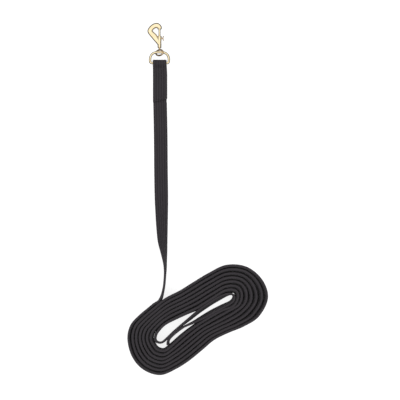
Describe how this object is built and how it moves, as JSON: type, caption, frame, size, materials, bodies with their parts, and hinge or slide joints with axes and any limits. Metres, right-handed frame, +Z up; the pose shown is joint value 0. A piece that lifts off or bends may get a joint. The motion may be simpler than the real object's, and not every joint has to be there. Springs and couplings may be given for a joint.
{
  "type": "training leash",
  "caption": "Long flat webbing leash with a sewn ring end, brass D-ring and swivel bolt snap, its free length wound into a flattened coil with a sewn hand loop inside.",
  "frame": {"origin": "under the middle of the box round the ring end (snap, D-ring and doubled strap end), on the surface the leash lies on", "axes": "+Y from the strap towards the snap, +Z up from the surface, +X to the right when seen from above with the snap at the top"},
  "size_m": [0.2054, 0.5259, 0.0202],
  "materials": {
    "webbing": "matt, ribbed lengthwise",
    "thread": "matt",
    "brass": "polished",
    "spring_steel": "drawn wire"
  },
  "bodies": {
    "webbing": {"ring_fold": "webbing", "webbing_lead": "webbing", "webbing_coil": "webbing", "hand_loop": "webbing", "ring_tack": "thread", "end_tack": "thread", "hand_loop_tack": "thread"},
    "ring": {"d_ring": "brass"},
    "eye": {"swivel_eye": "brass"},
    "snap": {"snap_body": "brass", "bolt_spring": "spring_steel"},
    "bolt": {"bolt": "brass", "thumb_stud": "brass"}
  },
  "joints": [
    {"name": "ring_hinge", "type": "hinge", "parent": "webbing", "child": "ring", "pos_m": [0.0011, -0.00076, 0.0051], "axis": [1, 0, 0], "range_deg": [-90, 90]},
    {"name": "eye_on_ring", "type": "hinge", "parent": "ring", "child": "eye", "pos_m": [0.0011, 0.01564, 0.0051], "axis": [1, 0, 0], "range_deg": [-60, 60]},
    {"name": "snap_swivel", "type": "hinge", "parent": "eye", "child": "snap", "pos_m": [0.0011, 0.02512, 0.00456], "axis": [0, 0.9984, -0.0571], "continuous": true},
    {"name": "bolt_slide", "type": "slide", "parent": "snap", "child": "bolt", "axis": [0, -0.9984, 0.0571], "range_m": [0, 0.007], "stiffness_N_per_m": 250, "springref_m": -0.004, "deforming": ["bolt_spring"]}
  ]
}
